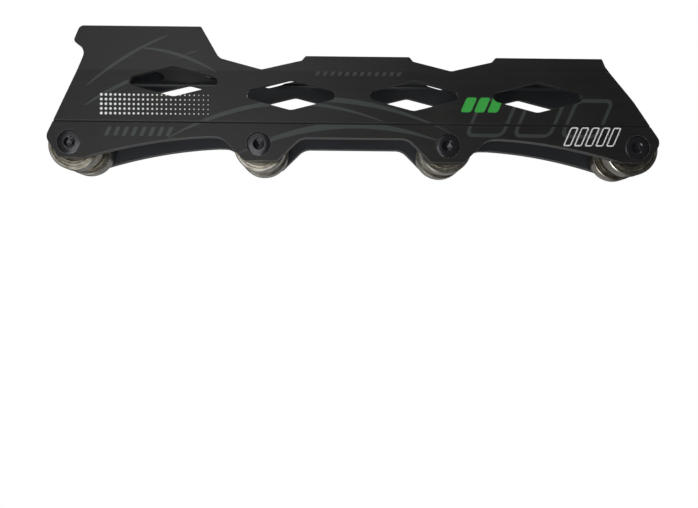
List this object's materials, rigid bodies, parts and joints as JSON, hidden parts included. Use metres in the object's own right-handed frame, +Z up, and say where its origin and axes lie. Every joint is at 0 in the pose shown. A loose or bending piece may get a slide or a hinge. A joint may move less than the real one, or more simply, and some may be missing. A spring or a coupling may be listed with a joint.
{
  "type": "inline skate frame",
  "caption": "Extruded skate frame with side windows and a stepped heel platform, with screw-in axles, flanged spacers and shielded ball bearings that carry inline wheels.",
  "frame": {"origin": "middle of the wheelbase, on the ground under the bearings", "axes": "+X to the toe, +Y to the threaded wall, away from the axle heads, +Z up to the boot"},
  "size_m": [0.261, 0.0416, 0.0591],
  "materials": {
    "frame_black": "satin black anodised extrusion",
    "axle_black": "gloss blue-black oxide",
    "spacer_steel": "turned, bright",
    "ring_steel": "ground",
    "shield_steel": "pressed sheet",
    "cage_steel": "pressed sheet",
    "ball_steel": "polished"
  },
  "bodies": {
    "frame": {"frame": "frame_black", "spacer_1": "spacer_steel", "spacer_2": "spacer_steel", "spacer_3": "spacer_steel", "spacer_4": "spacer_steel", "bearing_1_right_inner_ring": "ring_steel", "bearing_1_left_inner_ring": "ring_steel", "bearing_2_right_inner_ring": "ring_steel", "bearing_2_left_inner_ring": "ring_steel", "bearing_3_right_inner_ring": "ring_steel", "bearing_3_left_inner_ring": "ring_steel", "bearing_4_right_inner_ring": "ring_steel", "bearing_4_left_inner_ring": "ring_steel"},
    "axle_1": {"axle_1": "axle_black"},
    "axle_2": {"axle_2": "axle_black"},
    "axle_3": {"axle_3": "axle_black"},
    "axle_4": {"axle_4": "axle_black"},
    "bearing_1_right_outer": {"bearing_1_right_outer_ring": "ring_steel", "bearing_1_right_shields": "shield_steel"},
    "bearing_1_right_rolling": {"bearing_1_right_cage": "cage_steel", "bearing_1_right_balls": "ball_steel"},
    "bearing_1_left_outer": {"bearing_1_left_outer_ring": "ring_steel", "bearing_1_left_shields": "shield_steel"},
    "bearing_1_left_rolling": {"bearing_1_left_cage": "cage_steel", "bearing_1_left_balls": "ball_steel"},
    "bearing_2_right_outer": {"bearing_2_right_outer_ring": "ring_steel", "bearing_2_right_shields": "shield_steel"},
    "bearing_2_right_rolling": {"bearing_2_right_cage": "cage_steel", "bearing_2_right_balls": "ball_steel"},
    "bearing_2_left_outer": {"bearing_2_left_outer_ring": "ring_steel", "bearing_2_left_shields": "shield_steel"},
    "bearing_2_left_rolling": {"bearing_2_left_cage": "cage_steel", "bearing_2_left_balls": "ball_steel"},
    "bearing_3_right_outer": {"bearing_3_right_outer_ring": "ring_steel", "bearing_3_right_shields": "shield_steel"},
    "bearing_3_right_rolling": {"bearing_3_right_cage": "cage_steel", "bearing_3_right_balls": "ball_steel"},
    "bearing_3_left_outer": {"bearing_3_left_outer_ring": "ring_steel", "bearing_3_left_shields": "shield_steel"},
    "bearing_3_left_rolling": {"bearing_3_left_cage": "cage_steel", "bearing_3_left_balls": "ball_steel"},
    "bearing_4_right_outer": {"bearing_4_right_outer_ring": "ring_steel", "bearing_4_right_shields": "shield_steel"},
    "bearing_4_right_rolling": {"bearing_4_right_cage": "cage_steel", "bearing_4_right_balls": "ball_steel"},
    "bearing_4_left_outer": {"bearing_4_left_outer_ring": "ring_steel", "bearing_4_left_shields": "shield_steel"},
    "bearing_4_left_rolling": {"bearing_4_left_cage": "cage_steel", "bearing_4_left_balls": "ball_steel"}
  },
  "joints": [
    {"name": "axle_1_withdraw", "type": "slide", "parent": "frame", "child": "axle_1", "axis": [0, -1, 0], "range_m": [0, 0.04]},
    {"name": "axle_2_withdraw", "type": "slide", "parent": "frame", "child": "axle_2", "axis": [0, -1, 0], "range_m": [0, 0.04]},
    {"name": "axle_3_withdraw", "type": "slide", "parent": "frame", "child": "axle_3", "axis": [0, -1, 0], "range_m": [0, 0.04]},
    {"name": "axle_4_withdraw", "type": "slide", "parent": "frame", "child": "axle_4", "axis": [0, -1, 0], "range_m": [0, 0.04]},
    {"name": "bearing_1_right_spin", "type": "hinge", "parent": "frame", "child": "bearing_1_right_outer", "pos_m": [-0.1195, -0.0087, 0.011], "axis": [0, 1, 0], "continuous": true},
    {"name": "bearing_1_right_cage_spin", "type": "hinge", "parent": "frame", "child": "bearing_1_right_rolling", "pos_m": [-0.1195, -0.0087, 0.011], "axis": [0, 1, 0], "continuous": true},
    {"name": "bearing_1_left_spin", "type": "hinge", "parent": "frame", "child": "bearing_1_left_outer", "pos_m": [-0.1195, 0.0087, 0.011], "axis": [0, 1, 0], "continuous": true},
    {"name": "bearing_1_left_cage_spin", "type": "hinge", "parent": "frame", "child": "bearing_1_left_rolling", "pos_m": [-0.1195, 0.0087, 0.011], "axis": [0, 1, 0], "continuous": true},
    {"name": "bearing_2_right_spin", "type": "hinge", "parent": "frame", "child": "bearing_2_right_outer", "pos_m": [-0.03983, -0.0087, 0.011], "axis": [0, 1, 0], "continuous": true},
    {"name": "bearing_2_right_cage_spin", "type": "hinge", "parent": "frame", "child": "bearing_2_right_rolling", "pos_m": [-0.03983, -0.0087, 0.011], "axis": [0, 1, 0], "continuous": true},
    {"name": "bearing_2_left_spin", "type": "hinge", "parent": "frame", "child": "bearing_2_left_outer", "pos_m": [-0.03983, 0.0087, 0.011], "axis": [0, 1, 0], "continuous": true},
    {"name": "bearing_2_left_cage_spin", "type": "hinge", "parent": "frame", "child": "bearing_2_left_rolling", "pos_m": [-0.03983, 0.0087, 0.011], "axis": [0, 1, 0], "continuous": true},
    {"name": "bearing_3_right_spin", "type": "hinge", "parent": "frame", "child": "bearing_3_right_outer", "pos_m": [0.03983, -0.0087, 0.011], "axis": [0, 1, 0], "continuous": true},
    {"name": "bearing_3_right_cage_spin", "type": "hinge", "parent": "frame", "child": "bearing_3_right_rolling", "pos_m": [0.03983, -0.0087, 0.011], "axis": [0, 1, 0], "continuous": true},
    {"name": "bearing_3_left_spin", "type": "hinge", "parent": "frame", "child": "bearing_3_left_outer", "pos_m": [0.03983, 0.0087, 0.011], "axis": [0, 1, 0], "continuous": true},
    {"name": "bearing_3_left_cage_spin", "type": "hinge", "parent": "frame", "child": "bearing_3_left_rolling", "pos_m": [0.03983, 0.0087, 0.011], "axis": [0, 1, 0], "continuous": true},
    {"name": "bearing_4_right_spin", "type": "hinge", "parent": "frame", "child": "bearing_4_right_outer", "pos_m": [0.1195, -0.0087, 0.011], "axis": [0, 1, 0], "continuous": true},
    {"name": "bearing_4_right_cage_spin", "type": "hinge", "parent": "frame", "child": "bearing_4_right_rolling", "pos_m": [0.1195, -0.0087, 0.011], "axis": [0, 1, 0], "continuous": true},
    {"name": "bearing_4_left_spin", "type": "hinge", "parent": "frame", "child": "bearing_4_left_outer", "pos_m": [0.1195, 0.0087, 0.011], "axis": [0, 1, 0], "continuous": true},
    {"name": "bearing_4_left_cage_spin", "type": "hinge", "parent": "frame", "child": "bearing_4_left_rolling", "pos_m": [0.1195, 0.0087, 0.011], "axis": [0, 1, 0], "continuous": true}
  ],
  "couplings": [
    {"joint": "bearing_1_right_cage_spin", "follows": "bearing_1_right_spin", "ratio": 0.63233},
    {"joint": "bearing_1_left_cage_spin", "follows": "bearing_1_left_spin", "ratio": 0.63233},
    {"joint": "bearing_2_right_cage_spin", "follows": "bearing_2_right_spin", "ratio": 0.63233},
    {"joint": "bearing_2_left_cage_spin", "follows": "bearing_2_left_spin", "ratio": 0.63233},
    {"joint": "bearing_3_right_cage_spin", "follows": "bearing_3_right_spin", "ratio": 0.63233},
    {"joint": "bearing_3_left_cage_spin", "follows": "bearing_3_left_spin", "ratio": 0.63233},
    {"joint": "bearing_4_right_cage_spin", "follows": "bearing_4_right_spin", "ratio": 0.63233},
    {"joint": "bearing_4_left_cage_spin", "follows": "bearing_4_left_spin", "ratio": 0.63233}
  ]
}
